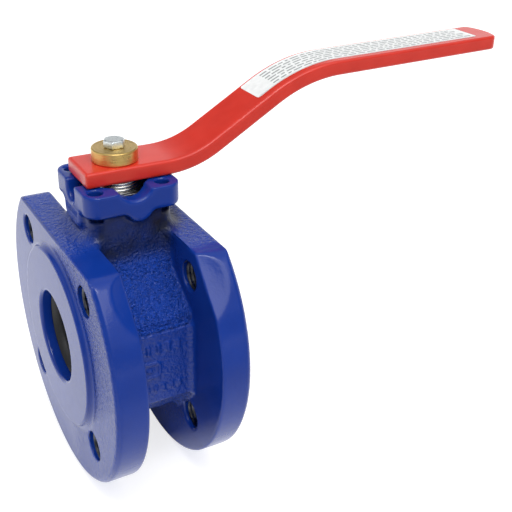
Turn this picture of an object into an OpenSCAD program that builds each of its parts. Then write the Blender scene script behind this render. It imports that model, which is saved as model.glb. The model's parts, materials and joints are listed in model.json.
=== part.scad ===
// Compact wafer ball valve, DN50 PN16, with a bent flat-bar hand lever.
// The origin is the centre of the ball. X runs along the pipe, Z along the stem.
// The lever lies along +X, so the valve stands open; the lever closes it towards -Y.

/* [Flanges] */
// Diameter of the pipe bore and of the port through the ball
bore_d = 50; // [46:1:51]
// Outside diameter of both flanges
flange_d = 165; // [162:1:180]
// Thickness of one flange without its raised face
flange_t = 16.9; // [14:0.1:18]
// Distance between the two raised faces
face_to_face = 79; // [76:1:84]
// Outside diameter of the raised faces
raised_d = 99; // [94:1:102]
// Height of the raised faces
raised_t = 3; // [2:0.5:3.5]
// Diameter of the circle that the flange holes lie on
bolt_circle = 125; // [122:1:128]
// Nominal thread diameter of the flange holes
bolt_d = 16; // [12:1:18]
// Height of the flat on top of the flanges, above the pipe axis
flat_z = 60.3; // [59:0.1:64]
// Radius where that flat meets the round rim
flat_corner_r = 13; // [4:1:16]
// Chamfer along the round rim of the outer faces
rim_chamfer = 2; // [0.5:0.5:3]

/* [Barrel and neck] */
// Distance from the pipe axis to the flat side panels
panel_y = 49; // [47:0.5:51]
// Height of a side panel
panel_h = 44; // [38:1:48]
// Height of the flat underside below the pipe axis
barrel_bottom = 47; // [45:0.5:50]
// Width of the stem neck along X
neck_x_w = 45; // [40:1:48]
// Width of the stem neck along Y
neck_y_w = 42; // [38:1:46]
// Height of the actuator pad's top face above the pipe axis
pad_z = 87; // [86:0.5:88]
// Side of the square actuator pad
pad_w = 51; // [49:0.5:56]
// Thickness of the actuator pad
pad_t = 12; // [9:0.5:14]
// Offset of the cast neck and pad along X from the stem axis
pad_shift = 0.8; // [0:0.1:1.5]
// Radius of the pad's corners
pad_corner_r = 8; // [4:0.5:10]
// Diameter of the circle that the pad holes lie on
pad_circle = 50; // [48:0.5:52]
// Diameter of the pad holes
pad_hole_d = 7; // [5:0.5:7]
// Diameter of the recess in the pad
recess_d = 35; // [33:0.5:36]
// Depth of that recess
recess_depth = 10; // [8:0.5:10]

/* [Ball and seats] */
// Diameter of the ball
ball_d = 72; // [70:1:72]
// Outside diameter of the seat rings
seat_d = 66; // [62:1:68]
// Gap between the ball and everything fixed around it
ball_gap = 0.3; // [0.1:0.1:0.5]
// Outside diameter of the retainer's thread
retainer_d = 78; // [77:0.5:80]

/* [Stem] */
// Diameter of the stem
stem_d = 16; // [15:0.5:16]
// Diameter of the collar that keeps the stem in
collar_d = 24; // [22:0.5:24]
// Width of the tang that turns the ball
tang_w = 11.6; // [9:0.1:12]
// Width across the flats of the square that carries the lever
square_w = 11; // [9:0.5:11]
// Diameter of the stuffing box
box_d = 24; // [22:0.5:24]
// Width across the flats of the gland nut
nut_w = 26; // [25:0.5:28]
// Outside diameter of the disc springs
spring_d = 24; // [22:0.5:27]

/* [Lever] */
// Thickness of the lever
lever_t = 8; // [5:0.5:10]
// Width of the lever
lever_w = 28; // [24:1:28]
// Length of the lever's tail behind the stem axis
lever_tail = 20.5; // [18:0.5:24]
// Distance from the stem axis to the start of the upward bend
bend_start = 24; // [20:1:30]
// Radius of the upward bend
bend_up_r = 54; // [40:1:70]
// Slope of the inclined part in degrees
slope = 30.5; // [20:0.5:36]
// Length of the straight inclined part
incline = 41; // [30:1:50]
// Radius of the bend back towards level
bend_down_r = 84; // [60:1:100]
// Slope of the hand end in degrees
end_slope = 1.4; // [0:0.1:4]
// Length of the straight hand end
hand_end = 115.5; // [90:0.5:130]
// Diameter of the brass clamp cap
cap_d = 23.7; // [20:0.1:26]
// Height of the brass clamp cap
cap_h = 6.9; // [5:0.1:9]

/* [Hidden] */
$fn = 96;

bore_r = bore_d / 2;
ball_r = ball_d / 2;
stem_r = stem_d / 2;
past = 1;               // how far a cutting tool runs past the surface it cuts
corner_overlap = 0.02;  // lets the flange's corner arc cross the edges that it blends

// Stations along the pipe axis
face_x = face_to_face / 2;
flange_x = face_x - raised_t;
gap_x = flange_x - flange_t;        // inner faces of the flanges
seat_back_x = 33;
seat_front_x = 22;
shoulder_x = 24;                    // shoulder that the retainer gasket sits on
gasket_t = 1;
retainer_inset = 0.4;
mouth_chamfer = 1;
raised_foot = 1.5;                  // cone that stands for the fillet at a raised face

// Cavity and retainer
cavity_r = ball_r + 1.5;
retainer_r = retainer_d / 2;
seat_r = seat_d / 2;
spanner_hole_r = 3;
spanner_hole_depth = 5;
spanner_hole_count = 4;

// Barrel section: panels, slopes above them, slopes and a flat below them
panel_top = 20;
shoulder_y = 12;
shoulder_z = 49;
belly_y = 26;
neck_foot_z = 40;
neck_corner_r = 12;
skirt_y = 29.5;         // foot of the flared skirt under the neck
skirt_z = 35;
skirt_top = 51;

// Pad details
lug_r = 7;
lug_z = 77;
lug_near_x = 3;
window_w = 10.5;
notch_r = 9.7;
notch_x = 1;
notch_bottom_z = pad_z - 5;
recess_z = pad_z - recess_depth;

// Stations along the stem axis
slot_z = 27.5;
tang_z = 28;
collar_z = ball_r + 0.4;
collar_top = 40;
washer_top = 41.5;
box_z = 56;
bush_z = 66;
nut_thread_z = 70;
nut_seat_gap = 0.05;
nut_top = recess_z + 3.5;
shim_t = 0.75;
square_z = 86.9;
lever_z = 87.3;
lever_top = lever_z + lever_t;
square_top = lever_top - 0.4;

// Clearances on the stem
stem_gap = 0.05;
packing_gap = 0.1;
collar_gap = 0.3;
tang_gap = 0.2;
groove_depth = 1.4;
groove_w = 2.4;
groove_lower_z = 46;
groove_upper_z = 51;
o_ring_r = 0.65;
chevron_rise = 1;
packing_h = (bush_z - box_z) / 3;

// Disc springs, nested in each other
spring_bore_r = stem_r + 0.4;
spring_rise = 0.8;
spring_t = 1.65;
spring_pitch = 1.75;
spring_z = nut_top + nut_seat_gap + shim_t + 0.05;

// Lever fastening
cap_z = lever_top;
cap_top = cap_z + cap_h;
screw_r = 3;
screw_length = 20;
screw_hole_depth = 19;
screw_head_w = 10;
screw_head_h = 4;
cap_chamfer = 0.6;
edge_chamfer = 0.5;
square_gap = 0.1;
pin_top = lever_z + 4.7;
pin_chamfer = 0.8;

// Label on the lever, by distance along the lever's centre line
label_start = 107;
label_length = 151;
label_w = 20.5;
label_y = 1.4;
label_t = 0.25;
label_corner_r = 3;
hand_corner_r = 3;
hand_bow_r = 30;         // the hand end is bowed outwards
tail_corner_r = 1.5;
tail_bow_r = 400;
arc_step = 2.5;         // degrees between two points of a bend

// ---- Shared shapes ----

// Turns a shape built along Z so that it lies along +X.
module along_x() {
    rotate([0, 90, 0]) children();
}

// A ring about Z between two heights.
module ring(r_in, r_out, z_low, z_high) {
    rotate_extrude()
        translate([r_in, z_low])
            square([r_out - r_in, z_high - z_low]);
}

// A square with rounded corners, centred on the origin.
module rounded_square(width, depth, corner_r) {
    square([width - 2 * corner_r, depth], center = true);
    square([width, depth - 2 * corner_r], center = true);
    for (x = [-1, 1], y = [-1, 1])
        translate([x * (width / 2 - corner_r), y * (depth / 2 - corner_r)])
            circle(corner_r);
}

// A hexagon prism about Z whose corners are turned off at the top.
module hex_head(width, z_low, height) {
    corner_r = width / sqrt(3);
    intersection() {
        translate([0, 0, z_low]) cylinder(h = height, r = corner_r, $fn = 6);
        rotate_extrude()
            polygon([
                [0, z_low],
                [corner_r + past, z_low],
                [corner_r + past, z_low + height - (corner_r + past - width / 2) / 2],
                [width / 2, z_low + height],
                [0, z_low + height]
            ]);
    }
}

// ---- Lever centre line ----

// Distances along the centre line at which its stretches end
level_end = lever_tail + bend_start;
up_end = level_end + bend_up_r * slope * PI / 180;
incline_end = up_end + incline;
down_end = incline_end + bend_down_r * (slope - end_slope) * PI / 180;
lever_length = down_end + hand_end;

function up_corner() = [
    bend_start + bend_up_r * sin(slope),
    bend_up_r * (1 - cos(slope))
];
function incline_corner() = up_corner() + incline * [cos(slope), sin(slope)];
function down_point(angle) = incline_corner()
    + bend_down_r * [sin(slope) - sin(angle), cos(angle) - cos(slope)];

// Slope of the centre line at a distance s from the tail
function heading(s) =
    s < level_end ? 0 :
    s < up_end ? (s - level_end) / bend_up_r * 180 / PI :
    s < incline_end ? slope :
    s < down_end ? slope - (s - incline_end) / bend_down_r * 180 / PI :
    end_slope;

// Point of the centre line at a distance s from the tail, as [x, height above the tail]
function centre(s) =
    s < level_end ? [s - lever_tail, 0] :
    s < up_end ? [bend_start + bend_up_r * sin(heading(s)),
                  bend_up_r * (1 - cos(heading(s)))] :
    s < incline_end ? up_corner() + (s - up_end) * [cos(slope), sin(slope)] :
    s < down_end ? down_point(heading(s)) :
    down_point(end_slope) + (s - down_end) * [cos(end_slope), sin(end_slope)];

// The same point, moved square to the centre line
function beside(s, rise) = centre(s) + rise * [-sin(heading(s)), cos(heading(s))];

// Distances between from and to: both ends, and closely spaced ones in the bends
function stations(from, to) = concat(
    [from],
    [for (a = [0 : arc_step : slope])
        let (s = level_end + a * bend_up_r * PI / 180) if (s > from && s < to) s],
    [for (s = [up_end, incline_end]) if (s > from && s < to) s],
    [for (a = [arc_step : arc_step : slope - end_slope])
        let (s = incline_end + a * bend_down_r * PI / 180) if (s > from && s < to) s],
    [for (s = [down_end]) if (s > from && s < to) s],
    [to]
);

// Outline of a strip that follows the lever between two distances and two rises
function strip(from, to, low, high) =
    let (places = stations(from, to), last = len(places) - 1)
    concat(
        [for (s = places) beside(s, high)],
        [for (i = [last : -1 : 0]) beside(places[i], low)]
    );

// Extrudes a strip outline across the lever.
module strip_solid(from, to, low, high, width) {
    translate([0, width / 2, lever_z + lever_t / 2])
        rotate([90, 0, 0])
            linear_extrude(height = width)
                polygon(strip(from, to, low, high));
}

// ---- Valve body ----

// Cuts the corner between the flat top and the round rim back to flat_corner_r.
module flange_corner_cutter(side) {
    flange_r = flange_d / 2;
    centre_z = flat_z - flat_corner_r + corner_overlap;
    centre_r = flange_r - flat_corner_r + corner_overlap;
    centre_y = sqrt(pow(centre_r, 2) - pow(centre_z, 2));
    far = 1.3;
    difference() {
        polygon([
            [side * centre_y, centre_z],
            [side * centre_y, flat_z + flat_corner_r],
            [side * centre_y * far, (flat_z + flat_corner_r) * far],
            [side * centre_y * far, centre_z * far]
        ]);
        translate([side * centre_y, centre_z]) circle(flat_corner_r);
    }
}

// One flange with its raised face, seen as the one on the +X side.
module flange_blank() {
    flange_r = flange_d / 2;
    raised_r = raised_d / 2;
    difference() {
        along_x() rotate_extrude() polygon([
            [0, gap_x],
            [flange_r, gap_x],
            [flange_r, flange_x - rim_chamfer],
            [flange_r - rim_chamfer, flange_x],
            [raised_r + raised_foot, flange_x],
            [raised_r, flange_x + raised_foot],
            [raised_r, face_x],
            [0, face_x]
        ]);
        translate([0, -flange_r - past, flat_z])
            cube([face_x + past, 2 * (flange_r + past), flange_r]);
        for (side = [-1, 1])
            translate([gap_x - past, 0, 0])
                rotate([90, 0, 90])
                    linear_extrude(height = flange_t + 2 * past)
                        flange_corner_cutter(side);
    }
}

// The cast barrel between the flanges, with the ball inside it.
module barrel() {
    panel_bottom = panel_top - panel_h;
    half = [
        [shoulder_y, shoulder_z],
        [panel_y - 1.5, panel_top + 1.5],
        [panel_y, panel_top],
        [panel_y, panel_bottom],
        [belly_y, -barrel_bottom]
    ];
    translate([-gap_x - past, 0, 0])
        rotate([90, 0, 90])
            linear_extrude(height = 2 * (gap_x + past))
                polygon(concat(half, [for (i = [4 : -1 : 0]) [-half[i][0], half[i][1]]]));
}

// The flared foot between the neck and the slopes of the barrel.
module neck_skirt() {
    translate([-gap_x - past, 0, 0])
        rotate([90, 0, 90])
            linear_extrude(height = 2 * (gap_x + past))
                polygon([
                    [-skirt_y, skirt_z], [skirt_y, skirt_z],
                    [neck_y_w / 2, skirt_top], [-neck_y_w / 2, skirt_top]
                ]);
}

// The neck around the stem, the square pad on it and the two lugs below its openings.
module neck_and_pad() {
    neck_skirt();
    translate([pad_shift, 0, neck_foot_z])
        linear_extrude(height = pad_z - pad_t - neck_foot_z + past)
            rounded_square(neck_x_w, neck_y_w, neck_corner_r);
    translate([pad_shift, 0, pad_z - pad_t])
        linear_extrude(height = pad_t)
            rounded_square(pad_w, pad_w, pad_corner_r);
    translate([lug_near_x, 0, lug_z])
        rotate([90, 0, 0])
            cylinder(h = pad_w / 2 - edge_chamfer, r = lug_r);
    translate([pad_shift + edge_chamfer - pad_w / 2, 0, lug_z])
        along_x()
            cylinder(h = pad_w / 2, r = lug_r + 1);
}

// Recess, window, notch and holes in the pad.
module pad_openings() {
    translate([0, 0, recess_z])
        cylinder(h = recess_depth + past, d = recess_d);
    translate([-pad_w, -window_w / 2, recess_z + window_w / 2])
        cube([pad_w, window_w, recess_depth]);
    translate([-pad_w, 0, recess_z + window_w / 2])
        along_x() cylinder(h = pad_w, d = window_w);
    translate([notch_x, 0, notch_bottom_z + notch_r])
        rotate([90, 0, 0]) cylinder(h = pad_w, r = notch_r);
    for (angle = [45 : 90 : 315])
        rotate(angle)
            translate([pad_circle / 2, 0, pad_z - pad_t - past])
                cylinder(h = pad_t + 2 * past, d = pad_hole_d);
}

// Everything hollow along the pipe axis.
module flow_cavity() {
    along_x() {
        translate([0, 0, -face_x - past])
            cylinder(h = face_x + past - seat_back_x, r = bore_r);
        translate([0, 0, -face_x])
            rotate_extrude() polygon([
                [0, -past], [bore_r + mouth_chamfer + past, -past],
                [bore_r, mouth_chamfer], [0, mouth_chamfer]
            ]);
        translate([0, 0, -seat_back_x])
            cylinder(h = seat_back_x, r = seat_r);
        cylinder(h = shoulder_x, r = cavity_r);
        translate([0, 0, shoulder_x])
            cylinder(h = face_x + past - shoulder_x, r = retainer_r);
    }
    sphere(cavity_r);
}

// Everything hollow along the stem axis below the recess.
module stem_cavity() {
    cylinder(h = washer_top, d = collar_d + 2 * collar_gap);
    cylinder(h = box_z + past, r = stem_r + stem_gap);
    translate([0, 0, box_z])
        cylinder(h = recess_z - box_z + past, d = box_d);
}

module body() {
    color("royalblue")
        difference() {
            union() {
                flange_blank();
                mirror([1, 0, 0]) flange_blank();
                barrel();
                neck_and_pad();
            }
            flow_cavity();
            stem_cavity();
            pad_openings();
            for (angle = [45 : 90 : 315])
                rotate([angle, 0, 0])
                    translate([-face_x, 0, bolt_circle / 2])
                        along_x() cylinder(h = face_to_face, d = bolt_d);
        }
}

// ---- Ball, seats and retainer ----

module ball() {
    color("lightslategray")
        difference() {
            sphere(ball_r);
            translate([-ball_r - past, 0, 0])
                along_x() cylinder(h = ball_d + 2 * past, r = bore_r);
            translate([-tang_w / 2 - tang_gap, -ball_r - past, slot_z])
                cube([tang_w + 2 * tang_gap, ball_d + 2 * past, ball_r]);
        }
}

// One seat ring, on the side of the ball that side gives.
module seat(side) {
    color("dimgray")
        difference() {
            along_x()
                ring(bore_r, seat_r,
                     side > 0 ? seat_front_x : -seat_back_x,
                     side > 0 ? seat_back_x : -seat_front_x);
            sphere(ball_r + ball_gap);
        }
}

module seat_inlet() {
    seat(-1);
}

module seat_outlet() {
    seat(1);
}

module retainer_ring() {
    color("royalblue")
        difference() {
            along_x() rotate_extrude() polygon([
                [bore_r, seat_back_x],
                [seat_r, seat_back_x],
                [seat_r, shoulder_x + gasket_t],
                [retainer_r, shoulder_x + gasket_t],
                [retainer_r, face_x - retainer_inset],
                [bore_r + mouth_chamfer, face_x - retainer_inset],
                [bore_r, face_x - retainer_inset - mouth_chamfer]
            ]);
            for (i = [1 : spanner_hole_count])
                rotate([i * 360 / spanner_hole_count, 0, 0])
                    translate([face_x - spanner_hole_depth, 0, (bore_r + retainer_r) / 2])
                        along_x()
                            cylinder(h = spanner_hole_depth + past, r = spanner_hole_r);
        }
}

module retainer_gasket() {
    color("white")
        along_x()
            ring(cavity_r + 0.1, retainer_r, shoulder_x, shoulder_x + gasket_t);
}

// ---- Stem and its seals ----

module stem() {
    color("silver")
        difference() {
            union() {
                intersection() {
                    cylinder(h = collar_top, d = collar_d);
                    translate([-tang_w / 2, -collar_d, tang_z])
                        cube([tang_w, 2 * collar_d, collar_top - tang_z]);
                }
                translate([0, 0, collar_z])
                    cylinder(h = collar_top - collar_z, d = collar_d);
                translate([0, 0, collar_z])
                    cylinder(h = square_z - collar_z, r = stem_r);
                intersection() {
                    translate([-square_w / 2, -square_w / 2, square_z - past])
                        cube([square_w, square_w, square_top - square_z + past]);
                    translate([0, 0, square_z - past])
                        cylinder(h = square_top - square_z + past, r = stem_r - 0.3);
                }
            }
            for (z = [groove_lower_z, groove_upper_z])
                ring(stem_r - groove_depth, stem_r + past, z - groove_w / 2, z + groove_w / 2);
            translate([0, 0, square_top - screw_hole_depth])
                cylinder(h = screw_hole_depth + past, r = screw_r);
        }
}

module thrust_washer() {
    color("whitesmoke")
        ring(stem_r + packing_gap, collar_d / 2, collar_top + stem_gap, washer_top);
}

// An O-ring in the stem groove at height z.
module stem_o_ring(z) {
    color("black")
        rotate_extrude()
            translate([stem_r - groove_depth / 2, z])
                circle(o_ring_r, $fn = 32);
}

module stem_o_ring_lower() {
    stem_o_ring(groove_lower_z);
}

module stem_o_ring_upper() {
    stem_o_ring(groove_upper_z);
}

// One packing ring; floor_rise and roof_rise give how far its middle stands up below and above.
module packing_ring(index, floor_rise, roof_rise) {
    r_in = stem_r + packing_gap;
    r_out = box_d / 2;
    middle = (r_in + r_out) / 2;
    low = box_z + index * packing_h;
    high = low + packing_h;
    color("whitesmoke")
        rotate_extrude()
            polygon(concat(
                [[r_in, low]],
                floor_rise > 0 ? [[middle, low + floor_rise]] : [],
                [[r_out, low], [r_out, high]],
                roof_rise > 0 ? [[middle, high + roof_rise]] : [],
                [[r_in, high]]
            ));
}

module packing_ring_lower() {
    packing_ring(0, 0, chevron_rise);
}

module packing_ring_middle() {
    packing_ring(1, chevron_rise, chevron_rise);
}

module packing_ring_upper() {
    packing_ring(2, chevron_rise, 0);
}

module gland_bush() {
    color("goldenrod")
        ring(stem_r + packing_gap, box_d / 2, bush_z, nut_thread_z);
}

module gland_nut() {
    color("gray")
        difference() {
            union() {
                translate([0, 0, nut_thread_z])
                    cylinder(h = nut_top - nut_thread_z - past, d = box_d);
                hex_head(nut_w, recess_z + nut_seat_gap, nut_top - recess_z - nut_seat_gap);
            }
            translate([0, 0, nut_thread_z - past])
                cylinder(h = nut_top, r = spring_bore_r);
        }
}

module spring_shim() {
    color("silver")
        ring(spring_bore_r, spring_d / 2 + 0.4, nut_top + nut_seat_gap,
             nut_top + nut_seat_gap + shim_t);
}

// One dished spring of the nested stack, counted from the bottom.
module disc_spring(index) {
    low = spring_z + index * spring_pitch;
    color("silver")
        rotate_extrude()
            polygon([
                [spring_bore_r, low + spring_rise],
                [spring_d / 2, low],
                [spring_d / 2, low + spring_t],
                [spring_bore_r, low + spring_rise + spring_t]
            ]);
}

module disc_spring_lower() {
    disc_spring(0);
}

module disc_spring_middle() {
    disc_spring(1);
}

module disc_spring_upper() {
    disc_spring(2);
}

// ---- Lever and its fastening ----

// Points of an arc, both ends included
function arc(middle, r, from, to, steps) =
    [for (i = [0 : steps])
        let (a = from + (to - from) * i / steps) middle + r * [cos(a), sin(a)]];

// Outline of one end of the lever seen from above: rounded corners and a bowed edge
function lever_end(length, corner_r, bow_r) =
    let (
        corner_y = lever_w / 2 - corner_r,
        turn = asin(corner_y / (bow_r - corner_r)),
        corner_x = length - bow_r + (bow_r - corner_r) * cos(turn),
        bow_turn = turn * 0.9
    )
    concat(
        arc([corner_x, -corner_y], corner_r, -90, -turn, 6),
        arc([length - bow_r, 0], bow_r, -bow_turn, bow_turn, 10),
        arc([corner_x, corner_y], corner_r, turn, 90, 6)
    );

module lever() {
    reach = centre(lever_length)[0];
    color("crimson")
        difference() {
            intersection() {
                strip_solid(0, lever_length, -lever_t / 2, lever_t / 2, lever_w);
                translate([0, 0, lever_z - past])
                    linear_extrude(height = reach)
                        polygon(concat(
                            lever_end(reach, hand_corner_r, hand_bow_r),
                            [for (p = lever_end(lever_tail, tail_corner_r, tail_bow_r)) -p]
                        ));
            }
            translate([-square_w / 2 - square_gap, -square_w / 2 - square_gap, lever_z - past])
                cube([square_w + 2 * square_gap, square_w + 2 * square_gap, lever_t + 2 * past]);
        }
}

module lever_label() {
    color("white")
        translate([0, label_y, 0])
            strip_solid(label_start, label_start + label_length,
                        lever_t / 2, lever_t / 2 + label_t, label_w);
}

module clamp_cap() {
    color("darkgoldenrod")
        rotate_extrude() polygon([
            [screw_r + 0.2, cap_z],
            [cap_d / 2, cap_z],
            [cap_d / 2, cap_top - cap_chamfer],
            [cap_d / 2 - cap_chamfer, cap_top],
            [screw_r + 0.2, cap_top]
        ]);
}

module lever_bolt() {
    color("gainsboro")
        union() {
            translate([0, 0, cap_top - screw_length])
                cylinder(h = screw_length + past, r = screw_r);
            hex_head(screw_head_w, cap_top, screw_head_h);
        }
}

module stop_pin() {
    pin_r = pad_hole_d / 2;
    color("silver")
        rotate(45)
            translate([pad_circle / 2, 0, 0])
                rotate_extrude() polygon([
                    [0, pad_z - pad_t],
                    [pin_r, pad_z - pad_t],
                    [pin_r, pin_top - pin_chamfer],
                    [pin_r - pin_chamfer, pin_top],
                    [0, pin_top]
                ]);
}

body();
retainer_ring();
retainer_gasket();
ball();
seat_inlet();
seat_outlet();
stem();
thrust_washer();
stem_o_ring_lower();
stem_o_ring_upper();
packing_ring_lower();
packing_ring_middle();
packing_ring_upper();
gland_bush();
gland_nut();
spring_shim();
disc_spring_lower();
disc_spring_middle();
disc_spring_upper();
lever();
lever_label();
clamp_cap();
lever_bolt();
stop_pin();
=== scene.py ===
"""Ball valve: detailed meshes, materials, studio and camera around the CAD frame."""
import functools
import json
import math

import bpy
import numpy as np
from mathutils import Matrix, Vector


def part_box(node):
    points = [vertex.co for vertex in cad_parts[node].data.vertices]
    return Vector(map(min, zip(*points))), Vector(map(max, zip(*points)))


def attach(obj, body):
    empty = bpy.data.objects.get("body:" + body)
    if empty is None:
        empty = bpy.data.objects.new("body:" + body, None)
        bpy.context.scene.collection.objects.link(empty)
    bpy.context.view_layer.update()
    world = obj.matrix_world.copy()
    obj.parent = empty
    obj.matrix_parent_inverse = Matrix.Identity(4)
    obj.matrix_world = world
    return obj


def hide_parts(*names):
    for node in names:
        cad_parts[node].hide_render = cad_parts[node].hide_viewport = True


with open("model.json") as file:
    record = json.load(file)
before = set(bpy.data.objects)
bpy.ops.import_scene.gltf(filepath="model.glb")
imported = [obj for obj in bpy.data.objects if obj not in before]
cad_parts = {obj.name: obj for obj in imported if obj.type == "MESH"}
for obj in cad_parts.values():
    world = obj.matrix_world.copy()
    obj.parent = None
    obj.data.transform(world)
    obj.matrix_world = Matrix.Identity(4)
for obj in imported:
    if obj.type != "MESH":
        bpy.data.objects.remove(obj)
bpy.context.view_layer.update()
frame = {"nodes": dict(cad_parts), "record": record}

MM = 0.001

# ---- Sizes in millimetres; the stem is Z and the pipe is X ----

FLANGE_R = 82.5
FLANGE_X = 36.5
GAP_X = 19.6
FACE_X = 39.5
RAISED_R = 49.5
RAISED_COVE = 3.0
FLAT_Z = 60.3
FLAT_CORNER_R = 13.0
RIM_CHAMFER = 2.0
BOLT_CIRCLE_R = 62.5
THREAD_R = 8.0
THREAD_ROOT_R = 8.1
THREAD_CREST_R = 7.0
THREAD_PITCH = 2.0
THREAD_STEPS = 40         # rings of points in each turn of the thread

PANEL_Y = 49.0
NECK_X = 0.8
NECK_HALF = (22.5, 21.0)
NECK_CORNER_R = 8.0
BARREL_FILLET = 4.0
NECK_FILLET = 7.0
PAD_FILLET = 3.0
MARK_HEIGHT = 0.75
PAD_HALF = 25.5
PAD_CORNER_R = 8.0
PAD_Z = 87.0
PAD_BOTTOM = 75.0
LUG_Z = 77.0
NEAR_LUG_X = 3.0
NEAR_LUG_R = 7.0
INLET_LUG_HALF = (11.0, 12.0)
INLET_LUG_CORNER_R = 6.0
RECESS_R = 17.5
RECESS_Z = 77.0
WINDOW_HALF = 5.25
NOTCH_X = 1.0
NOTCH_R = 9.7
NOTCH_Z = 91.7
NOTCH_BEVEL = 1.2
PAD_HOLE = 25.0 * math.sqrt(0.5)
PAD_HOLE_R = 3.5

BORE_R = 25.0
SEAT_R = 33.0
SEAT_BACK = 33.0
CAVITY_R = 37.5
SHOULDER_X = 24.0
RETAINER_R = 39.0
STEM_R = 8.0
BOX_R = 12.0
BOX_Z = 56.0
COLLAR_R = 12.3
WASHER_TOP = 41.5
STEM_CLEARANCE = 0.25
BALL_R = 36.0
BALL_CLEARANCE = 0.3
SEAT_TIP_X = 26.3
TANG_SLOT_HALF = 6.0
TANG_SLOT_FLOOR = 27.5
SPANNER_HOLE_R = 3.0
SPANNER_HOLE_DEPTH = 5.0

SPRING_BORE_R = STEM_R + 0.4
SPRING_RISE = 0.8
NUT_HALF = 13.0
BOLT_HALF = 5.0
BOLT_SHANK_R = 3.0

LEVER_Z = 91.3
LEVER_T = 8.0
LEVER_W = 28.0
LEVER_TAIL = 20.5
BEND_START = 24.0
BEND_UP_R = 54.0
SLOPE = math.radians(30.5)
INCLINE = 41.0
BEND_DOWN_R = 84.0
END_SLOPE = math.radians(1.4)
HAND_END = 115.5
LEVER_EDGE_R = 1.3
SQUARE_HALF = 5.6

# How rough the casting's skin is, as shares of the roughest, and its relief in millimetres; the
# same shares lighten the paint's colour, as painted light
BARE_GRAIN = 0.02
FACE_GRAIN = 0.16
FLAT_GRAIN = 0.3
RELIEF_HEIGHT = 0.42
RELIEF_SINK = 0.2

LABEL_START = 107.0
LABEL_LENGTH = 151.0
LABEL_W = 20.5
LABEL_Y = 1.4
LABEL_CORNER_R = 1.5
LABEL_RISE = 0.14
PRINT_RISE = 0.17
PRINT_ROWS = 6
PRINT_TOP = 7.4
PRINT_PITCH = 2.95
PRINT_HALF = 0.55
PRINT_MARGINS = (12.0, 7.0)


# ---- Camera ----

CAMERA_AZIMUTH = math.radians(-30.6)
CAMERA_ELEVATION = math.radians(27.97)
CAMERA_ROLL = math.radians(1.78)
CAMERA_LENS = 59.91
CAMERA_TARGET = Vector((103.33, 30.9, 0.0)) * MM
CAMERA_DISTANCE = 547.68 * MM


def make_camera():
    """The camera, near the inlet side and above the lever."""
    level = math.cos(CAMERA_ELEVATION)
    back = Vector((
        math.sin(CAMERA_AZIMUTH) * level,
        -math.cos(CAMERA_AZIMUTH) * level,
        math.sin(CAMERA_ELEVATION),
    ))
    right = (-back).cross(Vector((0, 0, 1))).normalized()
    up = right.cross(-back)
    turned_right = math.cos(CAMERA_ROLL) * right + math.sin(CAMERA_ROLL) * up
    turned_up = math.cos(CAMERA_ROLL) * up - math.sin(CAMERA_ROLL) * right
    data = bpy.data.cameras.new("camera")
    data.lens = CAMERA_LENS
    data.clip_start = 0.01
    camera = bpy.data.objects.new("camera", data)
    place = Matrix((turned_right, turned_up, back)).transposed().to_4x4()
    place.translation = CAMERA_TARGET + back * CAMERA_DISTANCE
    camera.matrix_world = place
    bpy.context.scene.collection.objects.link(camera)
    bpy.context.scene.camera = camera


# ---- Distance fields: negative inside, positive outside, in millimetres ----

def joined(a, b, fillet):
    """Both shapes, with a fillet of that radius where they meet."""
    dip = np.hypot(np.maximum(fillet - a, 0), np.maximum(fillet - b, 0))
    return np.maximum(fillet, np.minimum(a, b)) - dip


def common(a, b, edge):
    """What is inside both shapes, with its new edges rounded to that radius."""
    bulge = np.hypot(np.maximum(a + edge, 0), np.maximum(b + edge, 0))
    return np.minimum(-edge, np.maximum(a, b)) + bulge


def without(a, b, edge):
    """The first shape with the second cut out of it."""
    return common(a, -b, edge)


def any_of(*fields):
    """What is inside any of the shapes."""
    return functools.reduce(np.minimum, fields)


def rounded_box(u, v, half_u, half_v, corner_r):
    """A flat rectangle with rounded corners, centred on the origin."""
    du = np.abs(u) - half_u + corner_r
    dv = np.abs(v) - half_v + corner_r
    outside = np.hypot(np.maximum(du, 0), np.maximum(dv, 0))
    return outside + np.minimum(np.maximum(du, dv), 0) - corner_r


def polygon(u, v, corners):
    """A flat closed outline."""
    nearest = np.full(np.broadcast(u, v).shape, 1e6)
    inside = np.zeros(nearest.shape, bool)
    for (u0, v0), (u1, v1) in zip(corners, corners[1:] + corners[:1]):
        eu, ev = u1 - u0, v1 - v0
        along = np.clip(((u - u0) * eu + (v - v0) * ev) / (eu * eu + ev * ev), 0, 1)
        nearest = np.minimum(nearest, np.hypot(u - u0 - along * eu, v - v0 - along * ev))
        if ev:
            inside ^= ((v0 > v) != (v1 > v)) & (u < u0 + (v - v0) * eu / ev)
    return np.where(inside, -nearest, nearest)


def rounded_outline(corners, radius, steps=5):
    """The same outline with every corner replaced by an arc."""
    outline = []
    for i, corner in enumerate(corners):
        here = Vector(corner)
        before = (Vector(corners[i - 1]) - here).normalized()
        after = (Vector(corners[(i + 1) % len(corners)]) - here).normalized()
        half = before.angle(after) / 2
        reach = radius / math.tan(half)
        middle = here + (before + after).normalized() * (radius / math.sin(half))
        start = here + before * reach - middle
        end = here + after * reach - middle
        for step in range(steps + 1):
            spoke = start.lerp(end, step / steps).normalized() * radius
            outline.append(tuple(middle + spoke))
    return outline


# ---- Meshes from distance fields ----

def grid_of(low, high, step):
    """Three broadcastable coordinate arrays that span the box."""
    axes = [np.arange(a - 2 * step, b + 3 * step, step, dtype=np.float32)
            for a, b in zip(low, high)]
    return (axes[0][:, None, None], axes[1][None, :, None], axes[2][None, None, :])


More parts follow.
